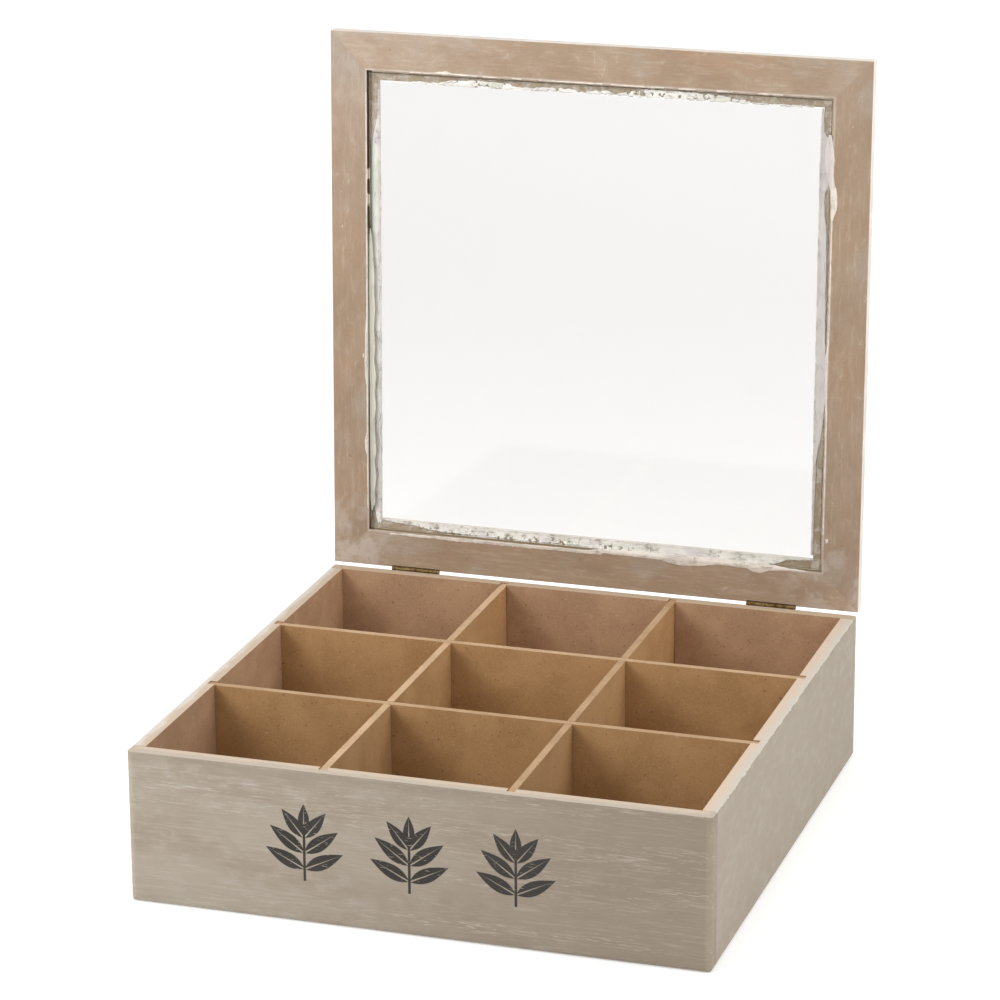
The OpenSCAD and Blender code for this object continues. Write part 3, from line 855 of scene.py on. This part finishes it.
sealantSpill = {
    "top": [[(20, -0.3, -0.05), (30, -0.4, 0.0), (33, -1.1, 0.0), (36.5, -1.5, 0.0), (39, -0.7, 0.0),
        (50, -0.35, 0.0)], [(53, -0.2, 0.0), (59, -0.25, 0.0)], [(66, -0.2, 0.0), (70, -0.2, 0.0)],
        [(78, -0.25, 0.0), (106, -0.2, 0.0)], [(110, -0.2, 0.0), (126, -0.25, 0.3), (133, -0.2, 0.0)],
        [(140, -0.2, 0.0), (147, -0.2, 0.0)], [(156.5, -0.3, 0.0), (163, -0.25, 0.0)],
        [(174.5, -0.25, 0.0), (185, -0.2, 0.0)]],
    "right": [[(16, 0.6, 2.0), (19, 0.0, 2.8), (22, -0.4, 3.3), (26, -0.9, 3.6), (29, -0.7, 3.4),
        (33, -0.7, 2.6), (36, -1.1, 1.6), (39, -2.1, 0.7), (44, -2.6, 0.3), (47, -2.4, 0.2),
        (50.5, -1.2, 0.1), (53, -0.7, 0.0), (80, -0.6, 0.0), (105, -0.6, 0.1), (112, -0.4, 1.0),
        (120, -0.3, 1.1), (131, -0.4, 0.9), (138, -0.6, 0.0), (165, -0.5, 0.0), (190, -0.4, 0.0)],
        [(192, -2.5, -1.2), (193.5, -2.4, -1.4)]],
    "bottom": [[(7, -0.5, 0.0), (18, -0.8, 0.8), (23, -1.4, 1.4), (27, -2.9, 1.6), (31, -2.7, 1.6),
        (33, -1.3, 1.6), (46, -1.0, 1.7), (52, -2.0, 1.6), (59.5, -3.0, 1.6), (66, -2.6, 1.6),
        (72, -1.3, 1.6), (90, -1.0, 1.5), (100, -0.8, 1.0), (106, -0.7, 0.1)], [(99, -1.7, -0.15),
        (120, -1.6, -0.1), (135, -1.9, -0.1), (150, -1.7, -0.15), (164, -1.9, -0.2), (176, -1.6, -0.4),
        (184, -1.8, -0.5), (190, -1.4, -0.6), (197, -1.6, -0.8)]],
    "left": [[(10, -0.7, -0.15), (20, -0.8, -0.15), (34, -0.7, -0.2), (37, -1.7, -0.2), (41, -1.9, -0.2),
        (45, -0.9, -0.2), (66, -0.8, -0.2), (70, -1.5, -0.2), (77, -1.7, -0.2), (85, -1.4, -0.2),
        (92, -1.3, -0.2), (98, -0.7, -0.15), (131, -0.65, -0.1), (160, -0.6, -0.1), (197, -0.55, -0.1)],
        [(79, -2.5, -1.9), (80.5, -2.5, -1.8)], [(9, 1.0, 1.6), (13, 0.7, 2.9), (18, 0.6, 2.6),
        (24, 0.6, 3.4), (31, 0.6, 2.7), (37, 0.6, 3.5), (44, 0.6, 2.9), (50, 0.6, 2.6), (57, 0.6, 3.4),
        (63, 0.6, 2.8), (71, 0.6, 3.5), (78, 0.6, 2.7), (85, 0.6, 3.2), (93, 0.6, 2.6), (101, 0.6, 3.3),
        (108, 0.6, 2.8), (116, 0.6, 3.0), (124, 0.7, 2.4), (131, 0.8, 2.0), (137, 1.0, 1.4)]],
}
# where each side starts, the way it runs and the way in to the glass, on the closed lid seen from below
sideFrames = {
    "top": ((-1, -1), (1, 0), (0, 1)), "right": ((1, -1), (0, 1), (-1, 0)),
    "bottom": ((1, 1), (-1, 0), (0, -1)), "left": ((-1, 1), (0, -1), (1, 0)),
}


def stripMesh(name, side, runs, level, inset):
    # flat strips down the middle of the patches, which the smear then grows out from by about the inset
    corner, along, inward = (Vector(v).to_3d() for v in sideFrames[side])
    columns = 5
    thinnest = 0.03
    points = []
    faces = []
    for stations in runs:
        for number, (run, outer, inner) in enumerate(stations):
            first = len(points)
            middle = (outer + inner) / 2
            half = max((inner - outer) / 2 - inset, thinnest)
            for column in range(columns):
                across = (middle + half * (2 * column / (columns - 1) - 1)) * mm
                spot = corner * rebateHalf + along * run * mm + inward * across
                points.append((spot.x, spot.y, level(across)))
            if number:
                for column in range(columns - 1):
                    a = first - columns + column
                    faces.append((a, a + 1, a + 1 + columns, a + columns))
    mesh = bpy.data.meshes.new(name)
    mesh.from_pydata(points, [], faces)
    return mesh


def smearPiece(name, patches, level, look, finish):
    # one bake for each side, joined in one mesh
    whole = bmesh.new()
    for number, (side, runs) in enumerate(patches.items()):
        own = dict(look, **look.get(side, {}))
        strips = stripMesh(name + side.title(), side, runs, level, own["inset"])
        whole.from_mesh(bakeNodes(strips, smearTree, {
            "Reach": own["reach"], "Raggedness": own["ragged"], "Ragged Scale": own["scale"],
            "Tear": own["tear"], "Flatten": own["flatten"], "Voxel": own["voxel"],
            "Voxel Height": own["voxelHeight"], "Seed": own["seed"] + number, "Finish": finish},
            name + side.title()))
    bmesh.ops.transform(whole, matrix=openLid, verts=whole.verts)
    mesh = bpy.data.meshes.new(name)
    whole.to_mesh(mesh)
    mesh.materials.append(finish)
    return link(name, mesh)


def spillLevel(across):
    # over the rail's face, down the rebate's edge and out on the pane
    sink = min(max(across / (1.2 * mm), 0.0), 1.0)
    return lidLow.z + sink * (glassLow.z - lidLow.z - 0.08 * mm)


bedLook = {"reach": 0.4 * mm, "ragged": 0.8 * mm, "scale": 230.0, "tear": 0.0, "flatten": 3.0,
           "voxel": 0.36 * mm, "voxelHeight": 0.08 * mm, "inset": 0.4, "seed": 4.0,
           "top": {"ragged": 2.2 * mm, "scale": 420.0, "tear": 0.2 * mm},
           "bottom": {"ragged": 1.3 * mm, "scale": 380.0}}
bedLevel = (glassHigh.z + rebateHigh.z) / 2
bed = smearPiece("sealantBed", sealantBed, lambda across: bedLevel, bedLook, sealantUnder)
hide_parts("glass_sealant")
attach(bed, "lid")

spillLook = {"reach": 0.3 * mm, "ragged": 0.7 * mm, "scale": 420.0, "tear": 0.0, "flatten": 2.2,
             "voxel": 0.24 * mm, "voxelHeight": 0.09 * mm, "inset": 0.28, "seed": 9.0,
             "left": {"ragged": 0.45 * mm, "scale": 260.0}, "bottom": {"ragged": 1.0 * mm, "scale": 380.0}}
spill = smearPiece("sealantSpill", sealantSpill, spillLevel, spillLook, sealantWhite)
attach(spill, "lid")

# what fills the gap round the pane's edge has taken up dust, and carries painted shade of the deep gap
beadLook = {"reach": 0.3 * mm, "ragged": 0.3 * mm, "scale": 300.0, "tear": 0.0, "flatten": 0.32,
            "voxel": 0.32 * mm, "voxelHeight": 0.2 * mm, "inset": 0.3, "seed": 14.0}
sealantBead = {side: [[(0.5, 0.05, 0.95), (2 * rebateHalf / mm - 0.5, 0.05, 0.95)]] for side in sideFrames}
bead = smearPiece("sealantBead", sealantBead, lambda across: glassLow.z + 1.0 * mm, beadLook, sealantDirty)
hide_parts("glass_sealant")
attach(bead, "lid")
print("sealant:", len(bed.data.polygons), "+", len(spill.data.polygons), "faces")

# hinges and their screws

brass = {"bright": tint(128, 106, 70), "dull": tint(88, 68, 42), "dark": tint(46, 34, 22),
         "roughLow": 0.38, "roughHigh": 0.58, "bump": 0.02 * mm}


def brassMaterial(name, seed, **changes):
    look = dict(brass, **changes)
    material, tree = newMaterial(name)
    place = objectPlace(tree)
    tarnish = noiseOf(place, 520.0, 4.0, 0.6, seed)
    brushed = noiseOf(place, (300, 4200, 4200), 2.0, 0.5, seed)
    colour = blend(band(tarnish, 0.38, 0.62), look["bright"], look["dull"])
    colour = blend(band(tarnish, 0.58, 0.74), colour, look["dark"])
    paint(material, {"Metallic": 1.0})
    return coat(material, colour, band(brushed, 0.3, 0.7, look["roughLow"], look["roughHigh"]), brushed,
                look["bump"])


leafBrass = brassMaterial("hingeBrass", 1.0)
pinBrass = brassMaterial("pinBrass", 2.0, bright=tint(150, 128, 88))
for side in ("left", "right"):
    for node, finish in (("box_leaf", leafBrass), ("lid_leaf", leafBrass), ("pin", pinBrass)):
        dress(side + "_hinge_" + node, [finish])

screw = {"sides": 40, "slotWidth": 0.42 * mm, "slotDepth": 0.36 * mm, "headDepth": 0.6 * mm,
         "shankRadius": 0.7 * mm}


def makeScrewTree():
    # countersunk slotted screws, one on each point, pointing down -Z, each slot turned its own way
    tree, given = newGroup("slottedScrews", "Geometry", {
        "Geometry": ["Points"], "Material": ["Finish"],
        "Float": ["Head Radius", "Head Depth", "Shank Radius", "Length", "Slot Width", "Slot Depth"]})

    def cone(top, bottom, depth, low):
        shape = get(tree, "GeometryNodeMeshCone", {
            "Vertices": screw["sides"], "Radius Top": top, "Radius Bottom": bottom, "Depth": depth})
        return get(tree, "GeometryNodeTransform", {"Geometry": shape, "Translation": join(z=low * -1.0)})

    # the head's own cone runs from the shank up to the face
    head = cone(given["Head Radius"], given["Shank Radius"], given["Head Depth"], given["Head Depth"])
    shank = cone(given["Shank Radius"], given["Shank Radius"] * 0.3, given["Length"] - given["Head Depth"],
                 given["Length"])
    size = join(given["Head Radius"] * 3.0, given["Slot Width"], given["Slot Depth"] * 2.0)
    cutter = get(tree, "GeometryNodeMeshCube", {"Size": size})
    slotted = get(tree, "GeometryNodeMeshBoolean", {"Mesh 1": head, "Mesh 2": cutter},
                  operation="DIFFERENCE", solver="EXACT")
    whole = put(tree, "GeometryNodeJoinGeometry")
    wire(slotted, whole.inputs[0])
    wire(shank, whole.inputs[0])
    angle = get(tree, "FunctionNodeRandomValue", {"Seed": 7, 2: 0.0, 3: math.pi}, 1, data_type="FLOAT")
    turn = get(tree, "FunctionNodeEulerToRotation", {"Euler": join(z=angle)})
    copies = get(tree, "GeometryNodeInstanceOnPoints", {
        "Points": given["Points"], "Instance": Signal(whole.outputs[0]), "Rotation": turn})
    return endShape(tree, copies, given["Finish"])


screwTree = makeScrewTree()
screwBrass = brassMaterial("screwBrass", 3.0, bright=tint(146, 122, 82))


def screwBoxes(name, upright):
    # the boxes of the two screws in a node, seen with their axis upright
    points = nodePoints(name, upright)
    middle = sum(p.x for p in points) / len(points)
    return [extent([p for p in points if (p.x < middle) == first]) for first in (True, False)]


def screwPiece(name, nodes, upright):
    boxes = [box for node in nodes for box in screwBoxes(node, upright)]
    heads = [((low.x + high.x) / 2, (low.y + high.y) / 2, high.z) for low, high in boxes]
    low, high = boxes[0]
    points = bpy.data.meshes.new(name + "Points")
    points.from_pydata(heads, [], [])
    return link(name, bakeNodes(points, screwTree, {
        "Head Radius": (high.x - low.x) / 2, "Head Depth": screw["headDepth"],
        "Shank Radius": screw["shankRadius"], "Length": high.z - low.z, "Slot Width": screw["slotWidth"],
        "Slot Depth": screw["slotDepth"], "Finish": screwBrass}, name, upright.inverted()))


# the box's screws go in from the back, and on the closed lid so do the lid's
backUp = Matrix.Rotation(math.radians(90), 4, "X")
for name, body, upright in (("boxScrews", "box", backUp), ("lidScrews", "lid", backUp @ closeLid)):
    nodes = [side + "_hinge_" + body + "_screws" for side in ("left", "right")]
    piece = screwPiece(name, nodes, upright)
    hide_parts(*nodes)
    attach(piece, body)
print("hinges dressed")

# floor, light and camera

studio = {"floorHalf": 6.0, "floorColour": (0.88, 0.88, 0.88, 1.0), "worldColour": (1.0, 1.0, 1.0, 1.0),
          "worldStrength": 0.72, "glow": 0.25, "glowDip": -0.03, "glowFar": 0.2}


def makeFloor():
    half = studio["floorHalf"]
    corners = [(-half, -half, 0), (half, -half, 0), (half, half, 0), (-half, half, 0)]
    mesh = bpy.data.meshes.new("studioFloor")
    mesh.from_pydata(corners, [], [(0, 1, 2, 3)])
    material, tree = newMaterial("studioPaper")
    y = split(objectPlace(tree))[1]
    # painted light: the paper glows, less just behind the box and more further back
    glow = studio["glow"] + band(y, 0.3, 0.5, 0.0, studio["glowDip"])
    glow = glow + band(y, 0.65, 1.45, 0.0, studio["glowFar"])
    paint(material, {"Base Color": studio["floorColour"], "Roughness": 0.9,
                     "Emission Color": (1.0, 1.0, 1.0, 1.0), "Emission Strength": glow})
    mesh.materials.append(material)
    floor = link("studioFloor", mesh)


makeFloor()

scene = bpy.context.scene
world = bpy.data.worlds.new("studioWorld")
world.use_nodes = True
background = world.node_tree.nodes["Background"]
background.inputs["Color"].default_value = studio["worldColour"]
background.inputs["Strength"].default_value = studio["worldStrength"]
scene.world = world
scene.view_settings.view_transform = "Standard"

lamps = {
    # place, target, width, watts
    "keyLight": ((-0.66, -0.72, 0.72), (-0.08, -0.1, 0.06), 0.5, 5.6),
    "rightLight": ((1.2, 0.05, 0.8), (0.1, 0.0, 0.05), 0.9, 7.5),
    "topLight": ((-0.1, 0.1, 1.7), (0, 0, 0.1), 1.2, 7.0),
}
for name, (place, aim, width, power) in lamps.items():
    data = bpy.data.lights.new(name, "AREA")
    data.shape = "SQUARE"
    data.size = width
    data.energy = power
    lamp = link(name, data)
    lamp.location = place
    lamp.rotation_euler = (Vector(place) - Vector(aim)).to_track_quat("Z", "Y").to_euler()

view = {"azimuth": 17.93, "elevation": 17.85, "roll": -0.35, "target": (-2.79 * mm, 0.0, 142.22 * mm),
        "distance": 1.6513, "focal": 4054.2, "frameWidth": 1000.0, "sensor": 36.0}


def placeCamera():
    azimuth, elevation, roll = (math.radians(view[angle]) for angle in ("azimuth", "elevation", "roll"))
    back = Vector((math.sin(azimuth) * math.cos(elevation), -math.cos(azimuth) * math.cos(elevation),
                   math.sin(elevation)))
    right = (-back).cross(Vector((0, 0, 1))).normalized()
    up = right.cross(-back)
    rolledRight = right * math.cos(roll) + up * math.sin(roll)
    rolledUp = up * math.cos(roll) - right * math.sin(roll)
    data = bpy.data.cameras.new("camera")
    data.sensor_width = view["sensor"]
    data.lens = view["focal"] / view["frameWidth"] * view["sensor"]
    data.clip_end = 50.0
    camera = link("camera", data)
    turn = Matrix((rolledRight, rolledUp, back)).transposed().to_4x4()
    camera.matrix_world = Matrix.Translation(Vector(view["target"]) + back * view["distance"]) @ turn
    scene.camera = camera


placeCamera()

print("scene ready")
